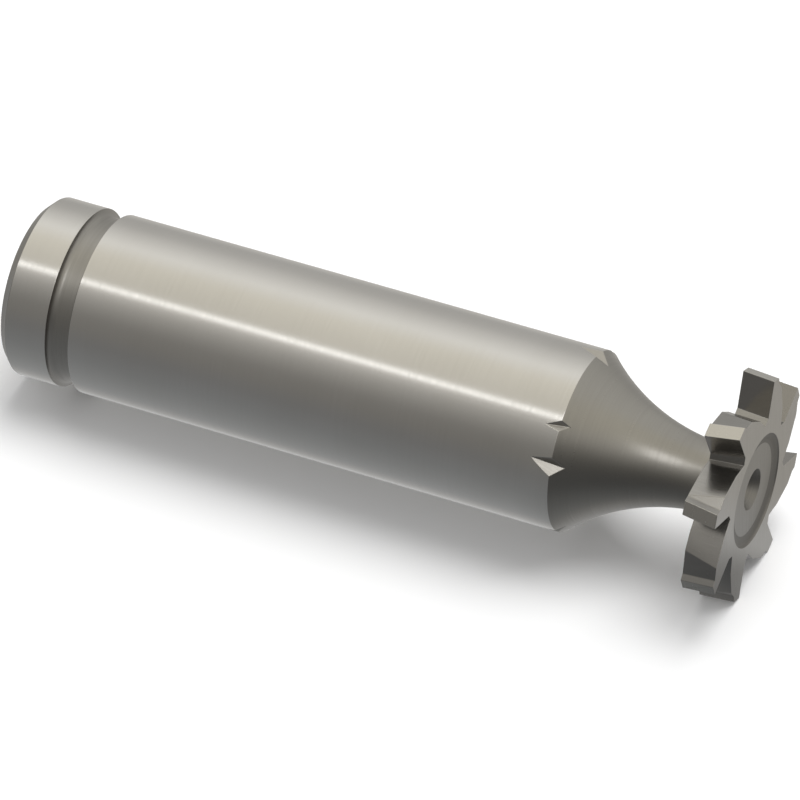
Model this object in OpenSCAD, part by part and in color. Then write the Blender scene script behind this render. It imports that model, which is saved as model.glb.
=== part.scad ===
// Woodruff keyseat cutter: a thin toothed head on a waisted neck and a straight round shank.
// It lies at rest on the shank's back edge and on the rim of the head.
// Lengths are in millimetres. The cutter's own axis runs from the shank's back face (0) to the head's front.

/* [Overall] */
// Whole length, from the shank's back face to the head's front face
overall_length = 53.45; // [50:0.01:60]

/* [Shank] */
// Diameter of the straight shank
shank_diameter = 12.7; // [11:0.05:14]
// Bevel around the shank's back edge
shank_bevel = 0.63; // [0.3:0.01:1]
// Distance from the back face to the near side of the groove
groove_start = 3.66; // [2:0.01:6]
// Width of the groove
groove_width = 1.73; // [1:0.01:2.5]
// Depth of the groove
groove_depth = 0.5; // [0.2:0.01:0.9]
// Small slope in the two bottom corners of the groove
groove_corner = 0.18; // [0.1:0.01:0.19]

/* [Neck] */
// Distance from the shoulder to the narrowest place of the neck
neck_length = 9.8; // [8:0.05:12]
// Diameter of the neck at its narrowest place
neck_diameter = 4.8; // [4:0.05:6]
// Distance from the narrowest place to the head's rear face
waist_to_head = 0.27; // [0.1:0.01:0.6]

/* [Head] */
// Diameter over the tips of the teeth
head_diameter = 15.875; // [15:0.005:18]
// Width of the head along the axis
head_width = 2.38; // [1.6:0.01:3.2]
// Diameter of the shallow recess in the front face
recess_diameter = 8; // [6:0.05:9]
// Depth of the recess
recess_depth = 0.3; // [0.2:0.01:0.7]

/* [Teeth] */
// Number of teeth, an even number because they lean in turn
tooth_count = 8; // [6:2:8]
// Lean of the teeth away from the axis, to one side and then the other, in degrees
tooth_lean = 9; // [3:0.5:12]
// Radius of the corner at the bottom of a gash
gullet_radius = 4.7; // [4.6:0.05:5.4]
// Small flat across the corner at the bottom of a gash
gullet_flat = 0.2; // [0.1:0.01:0.3]
// Length of the land behind a cutting edge
land_length = 1; // [0.6:0.05:1.2]
// Relief angle of the land, in degrees
land_relief = 5; // [3:0.5:8]
// Depth of the steep step behind the land
land_step = 0.44; // [0.3:0.01:0.6]
// Slope of the step behind the land, in degrees
land_step_slope = 68; // [55:1:75]
// Angle from a cutting edge to the end of its second relief, in degrees
heel_angle = 16; // [14:0.5:18]
// Radius at the end of the second relief
heel_radius = 7.1; // [6.6:0.05:7.3]

/* [Shoulder nicks] */
// Angle of the narrow nick behind the cutting edge of a backward leaning tooth, in degrees
narrow_nick_angle = -17.5; // [-20:0.5:-12]
// Angle of the wide nick behind the cutting edge of a forward leaning tooth, in degrees
wide_nick_angle = 6; // [0:0.5:8]
// Distance from the shoulder back to the start of a narrow nick on the shank
narrow_nick_reach = 1; // [0.6:0.05:1.4]
// Distance from the shoulder back to the start of a wide nick on the shank
wide_nick_reach = 1.5; // [1:0.05:2]
// Slope of the nicks' bottom line to the axis, in degrees
nick_slope = 17.5; // [14:0.5:24]
// Slope of each nick's upper side, in degrees
nick_upper_side = 40; // [30:1:50]
// Slope of a narrow nick's lower side, in degrees
narrow_nick_lower_side = 38; // [30:1:45]
// Slope of a wide nick's lower side, in degrees
wide_nick_lower_side = 25; // [20:1:35]

/* [Centre holes] */
// Diameter of the cone's mouth in the head
head_centre_mouth = 2.9; // [2.4:0.05:3.8]
// Diameter of the cone's mouth in the shank's back face
shank_centre_mouth = 4; // [3:0.05:5]
// Diameter of the small drilled hole below each cone
centre_pilot = 1.2; // [1:0.05:1.6]
// Depth of the small drilled hole below each cone
centre_pilot_depth = 1; // [0.5:0.05:1.5]

/* [Hidden] */
$fn = 96;

// Everything below follows from the values above
shank_radius = shank_diameter / 2;
neck_radius = neck_diameter / 2;
head_radius = head_diameter / 2;
head_rear = overall_length - head_width;
waist = head_rear - waist_to_head;
shoulder = waist - neck_length;
pitch_angle = 360 / tooth_count;
// The neck's arc touches the neck's own radius at the waist and the shank's edge at the shoulder
neck_rise = shank_radius - neck_radius;
neck_arc = (neck_length * neck_length + neck_rise * neck_rise) / (2 * neck_rise);
// End of the land, in a tooth's own picture with its tip straight up
land_end_x = land_length * cos(land_relief);
land_end_y = head_radius - land_length * sin(land_relief);
// Heel of a tooth, where its second relief ends at the far side of the next gash
heel_x = heel_radius * sin(heel_angle);
heel_y = heel_radius * cos(heel_angle);
// The head rests on the end of one land and on the next tip
next_tip_x = head_radius * sin(pitch_angle);
next_tip_y = head_radius * cos(pitch_angle);
rest_angle = atan2(land_end_y - next_tip_y, next_tip_x - land_end_x);
rest_radius = land_end_x * sin(rest_angle) + land_end_y * cos(rest_angle);
rest_rise = max(0, rest_radius - shank_radius);
rest_tilt = atan2(rest_rise, overall_length - shank_bevel);
rest_lift = shank_radius * cos(rest_tilt) - shank_bevel * sin(rest_tilt);
rest_low_x = -(shank_radius - shank_bevel) * sin(rest_tilt);
rest_high_x = overall_length * cos(rest_tilt) + rest_radius * sin(rest_tilt);
first_tip = 180 - rest_angle;
// Slack by which a cutting shape runs past the metal
past = 1;
// Reach of the cutting shapes for the teeth, well outside the tips
outer = head_radius + 3 * past;
cone_slope = 30;

// Shank and neck, turned in one piece: a bevelled back edge, the groove and the waist's hollow curve
// The neck's core runs on into the middle of the head
module turned_body() {
    core_end = head_rear + head_width / 2;
    rotate_extrude()
        difference() {
            polygon([
                [0, 0],
                [shank_radius - shank_bevel, 0],
                [shank_radius, shank_bevel],
                [shank_radius, core_end],
                [0, core_end]
            ]);
            groove_outline();
            translate([neck_radius + neck_arc, waist])
                circle(r = neck_arc, $fn = 360);
        }
}

// Section of the groove, with a small slope in each bottom corner
module groove_outline() {
    floor_radius = shank_radius - groove_depth;
    groove_end = groove_start + groove_width;
    polygon([
        [shank_radius + past, groove_start],
        [floor_radius + groove_corner, groove_start],
        [floor_radius, groove_start + groove_corner],
        [floor_radius, groove_end - groove_corner],
        [floor_radius + groove_corner, groove_end],
        [shank_radius + past, groove_end]
    ]);
}

// Plain disc for the head, a little over size, so that each tooth face is made by a cut
module head_blank() {
    translate([0, 0, head_rear])
        cylinder(r = head_radius + past, h = head_width);
}

// Turns a cutting shape to one tooth and leans it about that tooth's tip in the front face
module at_tooth(index) {
    lean = (index % 2 == 0) ? -tooth_lean : tooth_lean;
    rotate([0, 0, -(first_tip + index * pitch_angle)])
        translate([0, 0, overall_length])
            rotate([0, -lean, 0])
                translate([0, 0, -head_width - 2 * past])
                    linear_extrude(height = head_width + 3 * past)
                        children();
}

// Outline of a gash on the side of its own tooth: down the cutting face, then away from the corner
module cutting_side_outline() {
    corner = gullet_radius + gullet_flat;
    polygon([
        [0, corner],
        [0, outer],
        [-corner, outer],
        [-corner, 0]
    ]);
}

// Outline of a gash on its far side, which is the back of the tooth before it, in that tooth's picture
module far_side_outline() {
    gullet_x = gullet_radius * sin(pitch_angle);
    gullet_y = gullet_radius * cos(pitch_angle);
    run = (gullet_x - heel_x) / (heel_y - gullet_y);
    polygon([
        [heel_x - run * (outer - heel_y), outer],
        [outer, outer],
        [outer, gullet_y - past],
        [gullet_x + run * past, gullet_y - past]
    ]);
}

// Gash in front of a tooth, each of its sides leaning with its own tooth
module gash(index) {
    intersection() {
        at_tooth(index)
            cutting_side_outline();
        at_tooth(index - 1)
            far_side_outline();
    }
}

// Outline of the metal taken off behind a cutting edge: the land, a steep step and the second relief
// It ends in the open gash, well before the next tooth
module relief_outline() {
    knee_x = land_end_x + land_step / tan(land_step_slope);
    knee_y = land_end_y - land_step;
    fall = (knee_y - heel_y) / (heel_x - knee_x);
    end_turn = heel_angle + 0.6 * (pitch_angle - heel_angle);
    end_x = (knee_y + fall * knee_x) / (1 / tan(end_turn) + fall);
    polygon([
        [-past, head_radius + past * tan(land_relief)],
        [land_end_x, land_end_y],
        [knee_x, knee_y],
        [end_x, end_x / tan(end_turn)],
        [outer * tan(end_turn), outer],
        [-past, outer]
    ]);
}

// Toothed head: the disc less its gashes and reliefs
module head_body() {
    difference() {
        head_blank();
        for (index = [0 : tooth_count - 1]) {
            gash(index);
            at_tooth(index)
                relief_outline();
        }
        front_recess();
    }
}

// Shallow round recess in the head's front face
module front_recess() {
    translate([0, 0, overall_length - recess_depth])
        cylinder(r = recess_diameter / 2, h = recess_depth + past);
}

// Three-sided cut across the shoulder's edge, its bottom line sloping in towards the head
// reach: start on the shank, behind the shoulder; lower_side: slope of the side towards lower angles
module nick(angle, reach, lean, lower_side) {
    size = shank_radius / 2;
    rotate([0, 0, -angle])
        translate([0, shank_radius, shoulder - reach])
            rotate([nick_slope, 0, 0])
                rotate([0, -lean, 0])
                    translate([0, 0, -size])
                        linear_extrude(height = 2.5 * size)
                            polygon([
                                [0, 0],
                                [size * cos(nick_upper_side), size * sin(nick_upper_side)],
                                [0, 2 * size],
                                [-size * cos(lower_side), size * sin(lower_side)]
                            ]);
}

// Nicks left in the shoulder behind the gashes, a narrow and a wide one in turn
module shoulder_nicks() {
    for (index = [0 : 2 : tooth_count - 2]) {
        tip = first_tip + index * pitch_angle;
        nick(tip + narrow_nick_angle, narrow_nick_reach, -tooth_lean, narrow_nick_lower_side);
        nick(tip + pitch_angle + wide_nick_angle, wide_nick_reach, tooth_lean, wide_nick_lower_side);
    }
}

// Centre hole: a cone with a small drilled hole below it, mouth at height 0 and opening upward
module centre_hole(mouth) {
    cone_depth = (mouth - centre_pilot) / 2 / tan(cone_slope);
    extra = past * tan(cone_slope);
    translate([0, 0, -cone_depth])
        cylinder(r1 = centre_pilot / 2, r2 = mouth / 2 + extra, h = cone_depth + past);
    translate([0, 0, -cone_depth - centre_pilot_depth])
        cylinder(r = centre_pilot / 2, h = centre_pilot_depth + past / 2);
}

// The whole cutter standing on its own axis, back face at height 0
module cutter_upright() {
    difference() {
        union() {
            turned_body();
            head_body();
        }
        shoulder_nicks();
        translate([0, 0, overall_length - recess_depth])
            centre_hole(head_centre_mouth);
        mirror([0, 0, 1])
            centre_hole(shank_centre_mouth);
    }
}

// One solid piece, laid down as it comes to rest
module keyseat_cutter() {
    color([0.62, 0.61, 0.59])
        translate([-(rest_low_x + rest_high_x) / 2, 0, rest_lift])
            rotate([0, -rest_tilt, 0])
                rotate([90, 0, 90])
                    cutter_upright();
}

keyseat_cutter();
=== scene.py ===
import math

import bmesh
import bpy
from mathutils import Matrix, Vector


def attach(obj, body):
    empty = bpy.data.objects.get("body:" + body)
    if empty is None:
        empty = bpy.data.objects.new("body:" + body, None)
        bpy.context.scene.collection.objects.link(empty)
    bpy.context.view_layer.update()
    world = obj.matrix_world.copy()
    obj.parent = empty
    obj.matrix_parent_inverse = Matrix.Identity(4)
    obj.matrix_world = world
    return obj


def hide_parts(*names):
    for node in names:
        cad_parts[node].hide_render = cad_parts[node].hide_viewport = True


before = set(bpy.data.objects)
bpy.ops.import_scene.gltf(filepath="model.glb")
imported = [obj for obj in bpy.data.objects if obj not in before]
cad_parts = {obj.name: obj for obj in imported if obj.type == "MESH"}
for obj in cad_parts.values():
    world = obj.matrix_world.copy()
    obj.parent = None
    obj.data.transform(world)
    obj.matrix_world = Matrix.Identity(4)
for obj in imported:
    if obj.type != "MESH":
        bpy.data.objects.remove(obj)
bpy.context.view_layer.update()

millimetre = 0.001

# The cutter's sizes in millimetres and degrees. It is made standing on its back face, axis along Z.
# Turns are counted clockwise from +Y, seen from the front of the head.
cutter = {
    "length": 53.45,
    "shankRadius": 6.35,
    "backBevel": 0.63,
    "grooveStart": 3.66,
    "grooveWidth": 1.73,
    "grooveDepth": 0.5,
    "grooveCorner": 0.18,  # small slope in the groove's front corner
    "grooveRound": 0.5,  # how far the groove's rear corner is rounded
    "grooveSteps": 6,
    "neckLength": 9.8,  # from the shoulder to the narrowest place
    "neckRadius": 2.4,
    "waistToHead": 0.27,  # from the narrowest place to the head
    "neckSteps": 44,
    "headWidth": 2.38,
    "headRadius": 7.9375,
    "recessRadius": 4,
    "recessDepth": 0.3,
    "recessFillet": 1.2,  # width of the curve in which the recess's wall runs into its floor
    "recessSteps": 8,
    "recessShade": 0.75,  # share of the recess's wall painted darker, as painted shade of the wall's shadow
    "toothCount": 8,
    "toothLean": 9,  # of the cutting faces, to one side and the other in turn
    "farSideLean": 1.5,  # of the side across the gash, the back of the next tooth
    "farSideBulge": 0.24,
    "gulletRadius": 4.55,  # from the axis to the corner at the bottom of a gash
    "gulletFlat": 0.7,  # flat across that corner
    "landLength": 1,
    "landRelief": 5,
    "landStep": 0.44,  # depth of the steep step behind the land
    "landStepSlope": 68,
    "heelTurn": 16,  # from a cutting edge to the end of its second relief
    "heelRadius": 7.1,
    "reliefEnd": 0.6,  # where the second relief's cut ends, on the way from the heel to the next tip
    "narrowNick": {"turn": -17.5, "reach": 1, "lowerSide": 38},
    "wideNick": {"turn": 6, "reach": 1.5, "lowerSide": 25},
    "nickUpperSide": 40,
    "nickSlope": 17.5,
    "headCentreMouth": 1.45,
    "shankCentreMouth": 2,
    "pilotRadius": 0.6,
    "pilotDepth": 1,
    "coneSlope": 30,
    "spare": 1,  # how far a cutting shape runs past the metal
    "around": 240,  # steps round the turned surfaces
    "edgeBreak": 0.035,  # width of the tiny bevel on every edge
    "edgeTurn": 20,  # edges that turn more than this get the bevel
    "flatTurn": 0.4,  # faces that turn less than this become one
    "joinWithin": 0.002,  # corners closer than this become one
    "sliver": 0.001,  # edges shorter than this are closed up
}

# One entry for each finish: two tones, the range of roughness, and in millimetres the spacing of the
# grinding lines, the size of the grain and the depth of both. Lines run round the axis or across the face.
finishes = {
    "groundShank": {
        "tones": ((0.585, 0.575, 0.555), (0.545, 0.535, 0.51)), "rough": (0.15, 0.24),
        "line": 0.09, "grain": 0.05, "depth": 0.0006, "round": True,
    },
    "turnedGroove": {
        "tones": ((0.34, 0.33, 0.31), (0.28, 0.272, 0.256)), "rough": (0.32, 0.46),
        "line": 0.12, "grain": 0.06, "depth": 0.003, "round": True,
    },
    "groundNeck": {
        "tones": ((0.345, 0.335, 0.31), (0.30, 0.29, 0.27)), "rough": (0.26, 0.36),
        "line": 0.1, "grain": 0.06, "depth": 0.0012, "round": True,
    },
    "groundHeadFace": {
        "tones": ((0.52, 0.505, 0.475), (0.46, 0.445, 0.415)), "rough": (0.26, 0.38),
        "line": 0.12, "grain": 0.05, "depth": 0.0008, "round": False,
    },
    # Painted shade: the recess's wall is darker, standing in for the crescent of shadow inside the recess
    "shadedRecessWall": {
        "tones": ((0.24, 0.232, 0.217), (0.2, 0.193, 0.18)), "rough": (0.4, 0.55),
        "line": 0.1, "grain": 0.06, "depth": 0.001, "round": True,
    },
    "recessFloor": {
        "tones": ((0.38, 0.37, 0.347), (0.33, 0.32, 0.3)), "rough": (0.3, 0.42),
        "line": 0.12, "grain": 0.05, "depth": 0.0008, "round": False,
    },
    # Painted shade: the cutting faces are darker than the other ground faces, for the shade in the gashes
    "shadedCuttingFace": {
        "tones": ((0.3, 0.29, 0.275), (0.26, 0.25, 0.235)), "rough": (0.18, 0.26),
        "line": 0.1, "grain": 0.05, "depth": 0.0006, "round": False,
    },
    "toothBack": {
        "tones": ((0.35, 0.342, 0.328), (0.29, 0.283, 0.27)), "rough": (0.2, 0.28),
        "line": 0.1, "grain": 0.05, "depth": 0.0006, "round": False,
    },
    "groundLand": {
        "tones": ((0.53, 0.517, 0.485), (0.49, 0.477, 0.45)), "rough": (0.24, 0.28),
        "line": 0.08, "grain": 0.05, "depth": 0.0001, "round": True,
    },
    "nickFace": {
        "tones": ((0.47, 0.457, 0.43), (0.41, 0.398, 0.375)), "rough": (0.28, 0.4),
        "line": 0.1, "grain": 0.05, "depth": 0.0008, "round": False,
    },
    "drilledCentre": {
        "tones": ((0.28, 0.272, 0.255), (0.22, 0.213, 0.2)), "rough": (0.4, 0.55),
        "line": 0.1, "grain": 0.06, "depth": 0.001, "round": True,
    },
}

# What all finishes share
grinding = {
    "roundStretch": (1, 0.012, 0.012),  # the lines are fine along the axis and long round it
    "acrossStretch": (0.05, 1, 0.03),  # the same for lines across a face
    "lineShare": 0.65,  # the lines' share in the relief and the roughness, beside the grain
    "cloudShare": 0.6,  # the soft patches' share in the tone, beside the lines
    "cloudScale": 140,  # soft patches to the metre
    "noiseMiddle": (0.3, 0.7),  # the part of a pattern that runs from one tone to the other
}


def addNode(tree, kind, inputs=None, **settings):
    node = tree.nodes.new(kind)
    for name, value in settings.items():
        setattr(node, name, value)
    for name, value in (inputs or {}).items():
        joinValue(tree, value, node.inputs[name])
    return node


def joinValue(tree, value, socket):
    if isinstance(value, bpy.types.NodeSocket):
        tree.links.new(value, socket)
    else:
        socket.default_value = value


def mathNode(tree, operation, *values):
    node = tree.nodes.new("ShaderNodeMath")
    node.operation = operation
    for socket, value in zip(node.inputs, values):
        joinValue(tree, value, socket)
    return node.outputs[0]


def noiseNode(tree, place, scale, **inputs):
    return addNode(tree, "ShaderNodeTexNoise", {"Vector": place, "Scale": scale, **inputs}).outputs["Fac"]


def rangeNode(tree, value, given, wanted=(0, 1)):
    ends = {"From Min": given[0], "From Max": given[1], "To Min": wanted[0], "To Max": wanted[1]}
    return addNode(tree, "ShaderNodeMapRange", {"Value": value, **ends}).outputs[0]


# The first pattern's share of the sum, the second gives the rest
def shareNode(tree, first, second, share):
    return mathNode(tree, "MULTIPLY_ADD", first, share, mathNode(tree, "MULTIPLY", second, 1 - share))


# The Mix node has two values of each kind: its inputs 6 and 7 and its output 2 are the colours
def mixedColour(tree, factor, first, second):
    node = addNode(tree, "ShaderNodeMix", {"Factor": factor}, data_type="RGBA")
    joinValue(tree, first, node.inputs[6])
    joinValue(tree, second, node.inputs[7])
    return node.outputs[2]


# A tooth's corners in its own picture: tip straight up, its back towards +X. Gullet: the next gash's corner.
def toothPicture(s):
    relief, heelTurn = math.radians(s["landRelief"]), math.radians(s["heelTurn"])
    pitch = 2 * math.pi / s["toothCount"]
    land = s["landLength"]
    landEnd = Vector((land * math.cos(relief), s["headRadius"] - land * math.sin(relief)))
    knee = landEnd + Vector((s["landStep"] / math.tan(math.radians(s["landStepSlope"])), -s["landStep"]))
    heel = s["heelRadius"] * Vector((math.sin(heelTurn), math.cos(heelTurn)))
    gullet = s["gulletRadius"] * Vector((math.sin(pitch), math.cos(pitch)))
    run = (gullet - heel).normalized()
    return {
        "landEnd": landEnd,
        "knee": knee,
        "heel": heel,
        "bulge": (heel + gullet) / 2 + s["farSideBulge"] * Vector((-run.y, run.x)),
        "gullet": gullet,
        "nextTip": s["headRadius"] * Vector((math.sin(pitch), math.cos(pitch))),
    }


# Rest: the cutter lies on the shank's back edge, on the end of one land and on the next tooth's tip
def restTurn(s):
    tooth = toothPicture(s)
    landEnd, nextTip = tooth["landEnd"], tooth["nextTip"]
    turn = math.atan2(landEnd.y - nextTip.y, nextTip.x - landEnd.x)
    return turn, landEnd.x * math.sin(turn) + landEnd.y * math.cos(turn)


def restPlace(s):
    turn, radius = restTurn(s)
    tilt = math.atan2(radius - s["shankRadius"], s["length"] - s["backBevel"])
    lift = s["shankRadius"] * math.cos(tilt) - s["backBevel"] * math.sin(tilt)
    low = -(s["shankRadius"] - s["backBevel"]) * math.sin(tilt)
    high = s["length"] * math.cos(tilt) + radius * math.sin(tilt)
    lying = Matrix.Rotation(math.pi / 2, 4, "Z") @ Matrix.Rotation(math.pi / 2, 4, "X")
    tilted = Matrix.Rotation(-tilt, 4, "Y") @ lying
    return Matrix.Translation((-(low + high) / 2, 0, lift)) @ tilted, tilt, lift


# Finishes: grinding lines and grain on Object coordinates, in the cutter's own directions
def steelFinish(name, finish, tilt, lift):
    material = bpy.data.materials.new(name)
    material.use_nodes = True
    tree = material.node_tree
    shader = tree.nodes["Principled BSDF"]
    shader.inputs["Metallic"].default_value = 1
    place = addNode(tree, "ShaderNodeTexCoord").outputs["Object"]
    toAxis = {"Vector": place, "Location": (0, 0, -lift * millimetre), "Rotation": (0, tilt, 0)}
    along = addNode(tree, "ShaderNodeMapping", toAxis).outputs[0]
    perLine = 1 / (finish["line"] * millimetre)
    drawnOut = grinding["roundStretch"] if finish["round"] else grinding["acrossStretch"]
    stretch = [perLine * part for part in drawnOut]
    marks = addNode(tree, "ShaderNodeMapping", {"Vector": along, "Scale": stretch}).outputs[0]
    lines = noiseNode(tree, marks, 1, Detail=4, Roughness=0.6)
    grain = noiseNode(tree, along, 1 / (finish["grain"] * millimetre), Detail=2)
    cloud = noiseNode(tree, along, grinding["cloudScale"], Detail=3, Distortion=0.4)
    mixed = shareNode(tree, lines, grain, grinding["lineShare"])
    tone = rangeNode(tree, shareNode(tree, cloud, lines, grinding["cloudShare"]), grinding["noiseMiddle"])
    light, dark = finish["tones"]
    tree.links.new(mixedColour(tree, tone, (*light, 1), (*dark, 1)), shader.inputs["Base Color"])
    rough = rangeNode(tree, mixed, grinding["noiseMiddle"], finish["rough"])
    tree.links.new(rough, shader.inputs["Roughness"])
    depth = finish["depth"] * millimetre
    bump = addNode(tree, "ShaderNodeBump", {"Height": mixed, "Distance": depth, "Strength": 1})
    tree.links.new(bump.outputs[0], shader.inputs["Normal"])
    return material


def centreDepth(s, mouth):
    return (mouth - s["pilotRadius"]) / math.tan(math.radians(s["coneSlope"]))


# Turned blank: (radius, height, finish of the band that follows), from one centre hole round to the other
def blankOutline(s):
    full, neck, pilot = s["shankRadius"], s["neckRadius"], s["pilotRadius"]
    headRear = s["length"] - s["headWidth"]
    waist = headRear - s["waistToHead"]
    backCone = centreDepth(s, s["shankCentreMouth"])
    frontCone = centreDepth(s, s["headCentreMouth"])
    floor = full - s["grooveDepth"]
    corner = s["grooveCorner"]
    grooveEnd = s["grooveStart"] + s["grooveWidth"]
    rise = full - neck
    arc = (s["neckLength"] ** 2 + rise ** 2) / (2 * rise)
    arcTurn = math.asin(s["neckLength"] / arc)
    recessFloor = s["length"] - s["recessDepth"]
    rim = s["headRadius"] + s["spare"]
    outline = [
        (pilot, backCone + s["pilotDepth"], "drilledCentre"),
        (pilot, backCone, "drilledCentre"),
        (s["shankCentreMouth"], 0, "groundHeadFace"),
        (full - s["backBevel"], 0, "turnedGroove"),
        (full, s["backBevel"], "groundShank"),
    ]
    for step in range(s["grooveSteps"]):
        turn = math.pi / 2 * step / s["grooveSteps"]
        inside = s["grooveRound"] * (1 - math.cos(turn))
        outline.append((full - s["grooveDepth"] * math.sin(turn), s["grooveStart"] + inside, "turnedGroove"))
    outline += [
        (floor, s["grooveStart"] + s["grooveRound"], "turnedGroove"),
        (floor, grooveEnd - corner, "turnedGroove"),
        (floor + corner, grooveEnd, "turnedGroove"),
        (full, grooveEnd, "groundShank"),
    ]
    for step in range(s["neckSteps"]):
        turn = arcTurn * (1 - step / s["neckSteps"])
        outline.append((neck + arc * (1 - math.cos(turn)), waist - arc * math.sin(turn), "groundNeck"))
    flare = arc - math.sqrt(arc ** 2 - s["waistToHead"] ** 2)
    outline += [
        (neck, waist, "groundNeck"),
        (neck + flare, headRear, "groundHeadFace"),
        (rim, headRear, "groundLand"),
        (rim, s["length"], "groundHeadFace"),
    ]
    # The outer share of the recess's wall gets the painted shade, the rest the floor's tone
    for step in range(s["recessSteps"]):
        turn = math.pi / 2 * step / s["recessSteps"]
        inside = s["recessFillet"] * (1 - math.cos(turn))
        finish = "shadedRecessWall" if step < s["recessShade"] * s["recessSteps"] else "recessFloor"
        outline.append((s["recessRadius"] - inside, s["length"] - s["recessDepth"] * math.sin(turn), finish))
    return outline + [
        (s["recessRadius"] - s["recessFillet"], recessFloor, "recessFloor"),
        (s["headCentreMouth"], recessFloor, "drilledCentre"),
        (pilot, recessFloor - frontCone, "drilledCentre"),
        (pilot, recessFloor - frontCone - s["pilotDepth"], "drilledCentre"),
    ]


def turnedBlank(s, steels):
    outline = blankOutline(s)
    count = s["around"]
    turns = [2 * math.pi * step / count for step in range(count)]
    names = list(steels)
    blank = bmesh.new()
    rings = []
    for radius, height, _ in outline:
        rings.append([blank.verts.new((radius * math.sin(t), radius * math.cos(t), height)) for t in turns])
    for ring, following, (_, _, finish) in zip(rings, rings[1:], outline):
        for step in range(count):
            after = (step + 1) % count
            face = blank.faces.new((ring[step], ring[after], following[after], following[step]))
            face.material_index = names.index(finish)
    for ring in (rings[0], rings[-1]):
        blank.faces.new(ring).material_index = names.index("drilledCentre")
    bmesh.ops.recalc_face_normals(blank, faces=blank.faces)
    return meshObject("cutterBlank", blank, steels.values())


def meshObject(name, shape, materials):
    mesh = bpy.data.meshes.new(name)
    shape.to_mesh(mesh)
    shape.free()
    for material in materials:
        mesh.materials.append(material)
    made = bpy.data.objects.new(name, mesh)
    bpy.context.scene.collection.objects.link(made)
    return made


# A straight cutting shape over an outline, each side of it with a finish of its own
def cuttingShape(outline, sides, low, high, place):
    shape = bmesh.new()
    foot = [shape.verts.new((x, y, low)) for x, y in outline]
    top = [shape.verts.new((x, y, high)) for x, y in outline]
    for step, finish in enumerate(sides):
        after = (step + 1) % len(outline)
        shape.faces.new((foot[step], foot[after], top[after], top[step])).material_index = finish
    shape.faces.new(foot)
    shape.faces.new(top)
    bmesh.ops.recalc_face_normals(shape, faces=shape.faces)
    bmesh.ops.transform(shape, matrix=place, verts=shape.verts)
    return shape


def atHeadFront(s, lean):
    return Matrix.Translation((0, 0, s["length"])) @ Matrix.Rotation(math.radians(lean), 4, "Y")


def headReach(s):
    return -s["headWidth"] - 2 * s["spare"], s["spare"]


# Gash in front of a tooth: its cutting face leans with the tooth, its far side less. The far side bulges, so
# two shapes make the gash: one ends at the outer half of the bulge and the other at its inner half.
def gashShape(s, name, lean, outer, inner, steels):
    tooth = toothPicture(s)
    corner = s["gulletRadius"] + s["gulletFlat"]
    reach = s["headRadius"] + 3 * s["spare"]
    outline = [(0, corner), (0, reach), (-corner, reach), (-corner, 0)]
    shape = cuttingShape(outline, (0, 1, 1, 1), *headReach(s), atHeadFront(s, lean))
    farSide = atHeadFront(s, math.copysign(s["farSideLean"], lean))
    before = Matrix.Rotation(2 * math.pi / s["toothCount"], 4, "Z") @ farSide
    run = tooth[inner] - tooth[outer]
    outward = before.to_3x3() @ Vector((-run.y, run.x, 0))
    point = before @ tooth[outer].to_3d()
    everything = shape.verts[:] + shape.edges[:] + shape.faces[:]
    kept = bmesh.ops.bisect_plane(shape, geom=everything, plane_co=point, plane_no=outward, clear_inner=True)
    rim = [edge for edge in kept["geom_cut"] if isinstance(edge, bmesh.types.BMEdge)]
    for face in bmesh.ops.holes_fill(shape, edges=rim)["faces"]:
        face.material_index = 1
    bmesh.ops.recalc_face_normals(shape, faces=shape.faces)
    return meshObject(name, shape, (steels["shadedCuttingFace"], steels["toothBack"]))


# Metal taken off behind a cutting edge: the land, a steep step and the second relief
def reliefShape(s, name, lean, steels):
    tooth = toothPicture(s)
    heelTurn = math.radians(s["heelTurn"])
    knee, heel = tooth["knee"], tooth["heel"]
    fall = (knee.y - heel.y) / (heel.x - knee.x)
    endTurn = heelTurn + s["reliefEnd"] * (2 * math.pi / s["toothCount"] - heelTurn)
    endX = (knee.y + fall * knee.x) / (1 / math.tan(endTurn) + fall)
    outer = s["headRadius"] + 3 * s["spare"]
    before = -s["spare"]
    start = (before, s["headRadius"] - before * math.tan(math.radians(s["landRelief"])))
    end = (endX, endX / math.tan(endTurn))
    above = (outer * math.tan(endTurn), outer)
    outline = [start, tuple(tooth["landEnd"]), tuple(knee), end, above, (before, outer)]
    shape = cuttingShape(outline, (0, 1, 1, 1, 1, 1), *headReach(s), atHeadFront(s, lean))
    return meshObject(name, shape, (steels["groundLand"], steels["toothBack"]))


# A V-shaped nick, its bottom line sloping in through the shoulder's edge, at a turn from its tooth's tip
def nickShape(s, name, lean, steels):
    nick = s[name]
    size = s["shankRadius"] / 2
    upper = math.radians(s["nickUpperSide"])
    lower = math.radians(nick["lowerSide"])
    outline = [
        (0, 0),
        (size * math.cos(upper), size * math.sin(upper)),
        (0, 2 * size),
        (-size * math.cos(lower), size * math.sin(lower)),
    ]
    shoulder = s["length"] - s["headWidth"] - s["waistToHead"] - s["neckLength"]
    slope = Matrix.Rotation(math.radians(s["nickSlope"]), 4, "X")
    sloped = slope @ Matrix.Rotation(math.radians(lean), 4, "Y")
    onShank = Matrix.Translation((0, s["shankRadius"], shoulder - nick["reach"])) @ sloped
    turned = Matrix.Rotation(-math.radians(nick["turn"]), 4, "Z") @ onShank
    shape = cuttingShape(outline, (0, 0, 0, 0), -size, 1.5 * size, turned)
    return meshObject(name, shape, [steels["nickFace"]])


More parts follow.
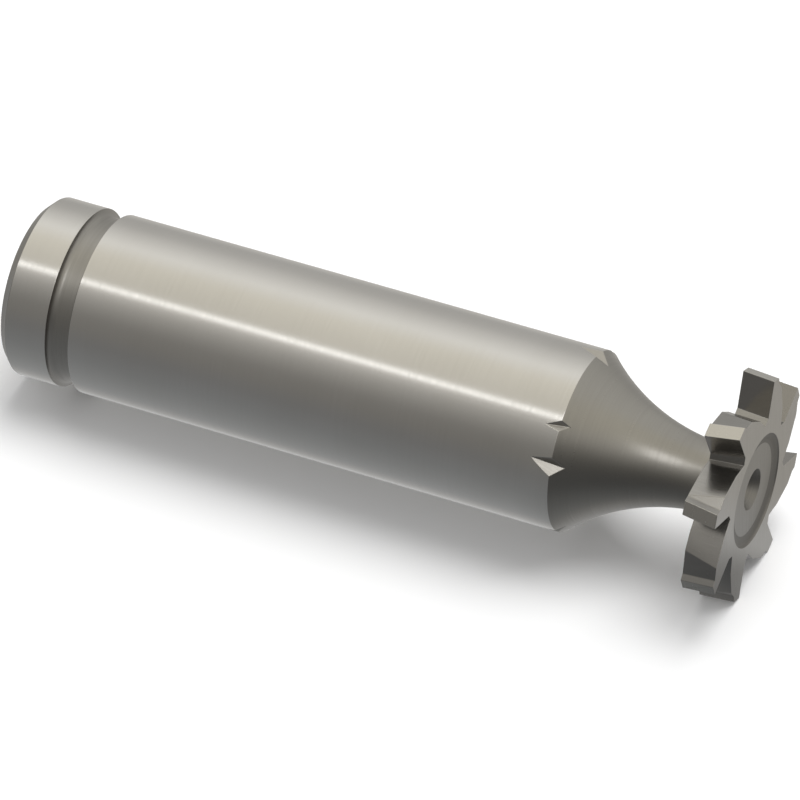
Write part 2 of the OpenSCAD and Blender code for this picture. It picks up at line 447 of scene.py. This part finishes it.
# Geometry Nodes: the cuts of every second tooth are set round the axis by one rule and taken out of the blank
def ringOfCuts(tree, shape, count, start, step):
    points = addNode(tree, "GeometryNodePoints", {"Count": count})
    index = addNode(tree, "GeometryNodeInputIndex").outputs[0]
    turn = mathNode(tree, "MULTIPLY", mathNode(tree, "MULTIPLY_ADD", index, step, start), -1)
    angles = addNode(tree, "ShaderNodeCombineXYZ", {"Z": turn})
    turned = addNode(tree, "FunctionNodeEulerToRotation", {"Euler": angles.outputs[0]})
    source = addNode(tree, "GeometryNodeObjectInfo", {"Object": shape})
    spread = addNode(tree, "GeometryNodeInstanceOnPoints", {
        "Points": points.outputs[0],
        "Instance": source.outputs["Geometry"],
        "Rotation": turned.outputs[0],
    })
    return spread.outputs[0]


def upwardPart(tree, kind):
    vector = addNode(tree, kind).outputs[0]
    return addNode(tree, "ShaderNodeSeparateXYZ", {"Vector": vector}).outputs["Z"]


def staggeredCuts():
    tree = bpy.data.node_groups.new("staggeredCuts", "GeometryNodeTree")
    tree.is_modifier = True
    tree.interface.new_socket("Geometry", in_out="OUTPUT", socket_type="NodeSocketGeometry")
    tree.interface.new_socket("Geometry", in_out="INPUT", socket_type="NodeSocketGeometry")
    backward = ("Backward gash", "Backward gullet", "Backward relief", "Narrow nick")
    forward = ("Forward gash", "Forward gullet", "Forward relief", "Wide nick")
    kinds = {
        "Object": backward + forward,
        "Int": ("Tooth count",),
        "Material": ("Face finish",),
        "Float": ("First tip", "Head front"),
    }
    for kind, names in kinds.items():
        for name in names:
            tree.interface.new_socket(name, in_out="INPUT", socket_type="NodeSocket" + kind)
    given = addNode(tree, "NodeGroupInput").outputs
    pitch = mathNode(tree, "DIVIDE", 2 * math.pi, given["Tooth count"])
    pairPitch = mathNode(tree, "MULTIPLY", pitch, 2)
    pairs = mathNode(tree, "DIVIDE", given["Tooth count"], 2)
    secondTip = mathNode(tree, "ADD", given["First tip"], pitch)
    blank = {"Mesh 1": given["Geometry"]}
    cutOut = addNode(tree, "GeometryNodeMeshBoolean", blank, operation="DIFFERENCE", solver="EXACT")
    for names, start in ((backward, given["First tip"]), (forward, secondTip)):
        for name in names:
            tree.links.new(ringOfCuts(tree, given[name], pairs, start, pairPitch), cutOut.inputs["Mesh 2"])
    realized = addNode(tree, "GeometryNodeRealizeInstances", {"Geometry": cutOut.outputs["Mesh"]})
    # The head's front face, flat across the axis, gets its finish last
    height = upwardPart(tree, "GeometryNodeInputPosition")
    facing = upwardPart(tree, "GeometryNodeInputNormal")
    flat = mathNode(tree, "GREATER_THAN", mathNode(tree, "ABSOLUTE", facing), 0.999)
    onHead = mathNode(tree, "GREATER_THAN", height, mathNode(tree, "SUBTRACT", given["Head front"], 0.01))
    finish = addNode(tree, "GeometryNodeSetMaterial", {
        "Geometry": realized.outputs[0],
        "Selection": mathNode(tree, "MULTIPLY", flat, onHead),
        "Material": given["Face finish"],
    })
    addNode(tree, "NodeGroupOutput", {"Geometry": finish.outputs[0]})
    return tree


def setInputs(modifier, values):
    for socket in modifier.node_group.interface.items_tree:
        if socket.in_out == "INPUT" and socket.name in values:
            modifier[socket.identifier] = values[socket.name]


# The shape that shows, as a plain mesh
def plainMesh(made, name):
    evaluated = made.evaluated_get(bpy.context.evaluated_depsgraph_get())
    mesh = bpy.data.meshes.new_from_object(evaluated)
    mesh.name = name
    return mesh


def breakEdges(mesh, s):
    shape = bmesh.new()
    shape.from_mesh(mesh)
    bmesh.ops.remove_doubles(shape, verts=shape.verts, dist=s["joinWithin"])
    bmesh.ops.dissolve_degenerate(shape, edges=shape.edges, dist=s["sliver"])
    bmesh.ops.dissolve_limit(
        shape,
        angle_limit=math.radians(s["flatTurn"]),
        verts=shape.verts,
        edges=shape.edges,
        delimit={"MATERIAL"},
    )
    sharp = [e for e in shape.edges if e.is_manifold and e.calc_face_angle() > math.radians(s["edgeTurn"])]
    print("sharp edges", len(sharp), "open edges", sum(not e.is_manifold for e in shape.edges))
    bmesh.ops.bevel(
        shape,
        geom=sharp,
        offset=s["edgeBreak"],
        offset_type="OFFSET",
        segments=2,
        profile=0.5,
        affect="EDGES",
        clamp_overlap=False,
        loop_slide=True,
        material=-1,
    )
    for face in shape.faces:
        face.smooth = True
    shape.to_mesh(mesh)
    shape.free()


def keyseatCutter(s):
    turn, _ = restTurn(s)
    place, tilt, lift = restPlace(s)
    steels = {name: steelFinish(name, finish, tilt, lift) for name, finish in finishes.items()}
    print("turning the blank")
    blank = turnedBlank(s, steels)
    lean = s["toothLean"]
    shapes = {
        "Backward gash": gashShape(s, "backwardGash", lean, "heel", "bulge", steels),
        "Backward gullet": gashShape(s, "backwardGullet", lean, "bulge", "gullet", steels),
        "Backward relief": reliefShape(s, "backwardRelief", lean, steels),
        "Narrow nick": nickShape(s, "narrowNick", lean, steels),
        "Forward gash": gashShape(s, "forwardGash", -lean, "heel", "bulge", steels),
        "Forward gullet": gashShape(s, "forwardGullet", -lean, "bulge", "gullet", steels),
        "Forward relief": reliefShape(s, "forwardRelief", -lean, steels),
        "Wide nick": nickShape(s, "wideNick", -lean, steels),
    }
    print("cutting the teeth and the nicks")
    modifier = blank.modifiers.new("staggeredCuts", "NODES")
    modifier.node_group = staggeredCuts()
    setInputs(modifier, {
        **shapes,
        "Tooth count": s["toothCount"],
        "First tip": math.pi - turn,
        "Head front": s["length"],
        "Face finish": steels["groundHeadFace"],
    })
    cut = plainMesh(blank, "keyseatCutter")
    for made in (blank, *shapes.values()):
        bpy.data.objects.remove(made)
    print("breaking the edges")
    breakEdges(cut, s)
    piece = bpy.data.objects.new("keyseatCutter", cut)
    bpy.context.scene.collection.objects.link(piece)
    piece.modifiers.new("weightedNormals", "WEIGHTED_NORMAL")
    piece.data = plainMesh(piece, "keyseatCutter")
    piece.modifiers.clear()
    piece.data.transform(Matrix.Scale(millimetre, 4) @ place)
    return piece


keyseat = keyseatCutter(cutter)
print("faces", len(keyseat.data.polygons), "materials", [m.name for m in keyseat.data.materials])
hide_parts("keyseat_cutter")
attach(keyseat, "root")

# The studio: a pale floor under soft light, and a light tent that shows in the steel alone.
# A turn is counted round the cutter from straight up, towards the far side. Past 90 degrees it meets the
# table: there the tent's glow stands in for the table as the steel shows it, dimmer under the cutter as
# painted shadow. Each turn has the brightness beside the shank, the one beside the head, and a tint.
white = (1, 1, 1)
pale = (1, 0.985, 0.945)
warm = (1, 0.97, 0.915)
cream = (1, 0.96, 0.855)
cool = (0.955, 0.98, 1)
studio = {
    "cameraPlace": (0.146983, -0.335590, 0.323603),
    "cameraRight": (0.91147, 0.41111, 0.01445),
    "cameraUp": (-0.27947, 0.59307, 0.75510),
    "lens": 321.43,
    "sensor": 36,
    "floorSize": 6,
    "floorColour": (0.92, 0.92, 0.92),
    "floorRoughness": 0.9,
    "ambient": 0.62,
    "keyPower": 7,
    "keySize": 0.7,
    "keyPlace": (0.15, 0.25, 0.9),
    "tentRadius": 0.6,
    "tentEnds": (-1, 1.2),
    "tentSteps": 48,
    "tableHeight": 0.00005,  # the tent's own floor, just above the studio's, glowing in place of the table with painted shadow under the cutter
    "tentLevels": [
        (-180, 0.6, 0.3, white),
        (-151, 0.62, 0.25, white),
        (-142, 0.47, 0.2, white),
        (-137, 0.42, 0.18, cool),
        (-126, 0.35, 0.15, cool),
        (-114, 0.285, 0.13, cool),
        (-100, 0.24, 0.13, white),
        (-86, 0.265, 0.16, warm),
        (-70, 0.29, 0.27, warm),
        (-58, 0.375, 0.45, warm),
        (-46, 0.5, 0.65, warm),
        (-38, 0.64, 0.75, warm),
        (-16, 0.86, 0.85, cream),
        (13, 1.0, 0.88, cream),
        (33, 1.14, 0.86, pale),
        (53, 0.88, 0.85, pale),
        (73, 0.64, 0.8, pale),
        (93, 0.54, 0.58, pale),
        (107, 0.65, 0.5, warm),
        (124, 0.65, 0.48, warm),
        (146, 0.63, 0.55, white),
        (157, 0.62, 0.55, white),
        (169, 0.54, 0.4, white),
        (180, 0.6, 0.3, white),
    ],
    "brightest": 1.2,
    # Where the brightness beside the shank gives way to the one beside the head, and how far that leans
    "headSide": (0.012, 0.03),
    "headSideLean": 0.2,
    # The back end of the tent is dim
    "dimBack": (-0.9, -0.5),
    "dimBackLevel": 0.3,
    # The tube that draws the thin bright line on the shank, the softbox that draws the streak on the neck:
    # the turns and the ends along X between which each hangs, its level and its tint
    "lamps": {
        "lampTube": ((-31.2, -25.4), (-0.9, 0.03), 2.2, (1, 0.99, 0.97)),
        "softBox": ((-40, -20), (0.03, 0.24), 2.6, (1, 0.99, 0.98)),
    },
    "lampDistance": 0.58,
}


def glowMaterial(name, colour, strength):
    material = bpy.data.materials.new(name)
    material.use_nodes = True
    tree = material.node_tree
    shader = tree.nodes["Principled BSDF"]
    shader.inputs["Base Color"].default_value = (0, 0, 0, 1)
    shader.inputs["Specular IOR Level"].default_value = 0
    shader.inputs["Emission Strength"].default_value = strength
    joinValue(tree, colour, shader.inputs["Emission Color"])
    return material, tree, shader


def levelRamp(tree, turn, levels, column, brightest):
    ramp = addNode(tree, "ShaderNodeValToRGB", {"Fac": turn})
    stops = ramp.color_ramp.elements
    while len(stops) < len(levels):
        stops.new(0.5)
    for stop, row in zip(stops, levels):
        stop.position = row[0] / 360 + 0.5
        stop.color = (*(row[column] / brightest * part for part in row[3]), 1)
    return ramp.outputs["Color"]


# Brightness by the turn round the cutter's axis, and by how far along the cutter
def tentMaterial(s, axisHeight):
    material, tree, shader = glowMaterial("tentCloth", (0, 0, 0, 1), s["brightest"])
    centre = addNode(tree, "ShaderNodeTexCoord").outputs["Object"]
    place = addNode(tree, "ShaderNodeSeparateXYZ", {"Vector": centre}).outputs
    up = mathNode(tree, "SUBTRACT", place["Z"], axisHeight)
    turn = mathNode(tree, "MULTIPLY_ADD", mathNode(tree, "ARCTAN2", place["Y"], up), 0.5 / math.pi, 0.5)
    upSquare = mathNode(tree, "MULTIPLY", up, up)
    sideSquare = mathNode(tree, "MULTIPLY", place["Y"], place["Y"])
    away = mathNode(tree, "POWER", mathNode(tree, "ADD", upSquare, sideSquare), 0.5)
    along = mathNode(tree, "MULTIPLY_ADD", away, s["headSideLean"], place["X"])
    ramps = [levelRamp(tree, turn, s["tentLevels"], column, s["brightest"]) for column in (1, 2)]
    colour = mixedColour(tree, rangeNode(tree, along, s["headSide"]), *ramps)
    tree.links.new(colour, shader.inputs["Emission Color"])
    dim = rangeNode(tree, place["X"], s["dimBack"], (s["dimBackLevel"], 1))
    tree.links.new(mathNode(tree, "MULTIPLY", dim, s["brightest"]), shader.inputs["Emission Strength"])
    return material


def stageObject(name, shape, material):
    bmesh.ops.recalc_face_normals(shape, faces=shape.faces)
    made = meshObject(name, shape, [material])
    return made


# The tent shows in the steel alone, as a photographer's tent round the picture does
def reflectedOnly(made):
    made.visible_camera = False
    made.visible_diffuse = False
    made.visible_shadow = False


def roundTheAxis(shape, x, distance, turns, axisHeight):
    return [shape.verts.new((x, distance * math.sin(t), axisHeight + distance * math.cos(t))) for t in turns]


def lightTent(s, axisHeight):
    shape = bmesh.new()
    foot = math.pi / 2 + math.asin((axisHeight - s["tableHeight"]) / s["tentRadius"])
    turns = [foot * (2 * step / s["tentSteps"] - 1) for step in range(s["tentSteps"] + 1)]
    back, front = [roundTheAxis(shape, x, s["tentRadius"], turns, axisHeight) for x in s["tentEnds"]]
    for step in range(len(back)):
        after = (step + 1) % len(back)
        shape.faces.new((back[step], back[after], front[after], front[step]))
    shape.faces.new(back)
    shape.faces.new(front)
    reflectedOnly(stageObject("lightTent", shape, tentMaterial(s, axisHeight)))


def hungLamps(s, axisHeight):
    for name, (turns, ends, level, tint) in s["lamps"].items():
        shape = bmesh.new()
        sides = [math.radians(turn) for turn in turns]
        back, front = [roundTheAxis(shape, x, s["lampDistance"], sides, axisHeight) for x in ends]
        shape.faces.new(back + front[::-1])
        material, _, _ = glowMaterial(name + "Glow", (*tint, 1), level)
        reflectedOnly(stageObject(name, shape, material))


def studioFloor(s):
    material = bpy.data.materials.new("paleFloor")
    material.use_nodes = True
    shader = material.node_tree.nodes["Principled BSDF"]
    shader.inputs["Base Color"].default_value = (*s["floorColour"], 1)
    shader.inputs["Roughness"].default_value = s["floorRoughness"]
    half = s["floorSize"] / 2
    shape = bmesh.new()
    corners = ((-half, -half), (half, -half), (half, half), (-half, half))
    shape.faces.new([shape.verts.new((x, y, 0)) for x, y in corners])
    stageObject("studioFloor", shape, material)


def keyLamp(s):
    lamp = bpy.data.lights.new("keyLamp", "AREA")
    lamp.energy = s["keyPower"]
    lamp.size = s["keySize"]
    key = bpy.data.objects.new("keyLamp", lamp)
    key.location = s["keyPlace"]
    key.rotation_euler = (-Vector(s["keyPlace"])).to_track_quat("-Z", "Y").to_euler()
    key.visible_glossy = False
    bpy.context.scene.collection.objects.link(key)


def studioWorld(s):
    world = bpy.data.worlds.new("studioWorld")
    world.use_nodes = True
    tree = world.node_tree
    ray = addNode(tree, "ShaderNodeLightPath").outputs
    mirrored = mathNode(tree, "MAXIMUM", ray["Is Glossy Ray"], ray["Is Transmission Ray"])
    seen = mathNode(tree, "MAXIMUM", ray["Is Camera Ray"], mirrored)
    sky = tree.nodes["Background"]
    sky.inputs["Color"].default_value = (1, 1, 1, 1)
    tree.links.new(rangeNode(tree, seen, (0, 1), (s["ambient"], 1)), sky.inputs["Strength"])
    bpy.context.scene.world = world


def makeCamera(s):
    lens = bpy.data.cameras.new("photoCamera")
    lens.lens = s["lens"]
    lens.sensor_width = s["sensor"]
    right, up = Vector(s["cameraRight"]), Vector(s["cameraUp"])
    camera = bpy.data.objects.new("photoCamera", lens)
    turned = Matrix((right, up, right.cross(up))).transposed().to_4x4()
    camera.matrix_world = Matrix.Translation(s["cameraPlace"]) @ turned
    bpy.context.scene.collection.objects.link(camera)
    bpy.context.scene.camera = camera


print("making the studio")
studioFloor(studio)
studioWorld(studio)
keyLamp(studio)
lightTent(studio, cutter["shankRadius"] * millimetre)
hungLamps(studio, cutter["shankRadius"] * millimetre)
makeCamera(studio)
bpy.context.scene.view_settings.view_transform = "Standard"
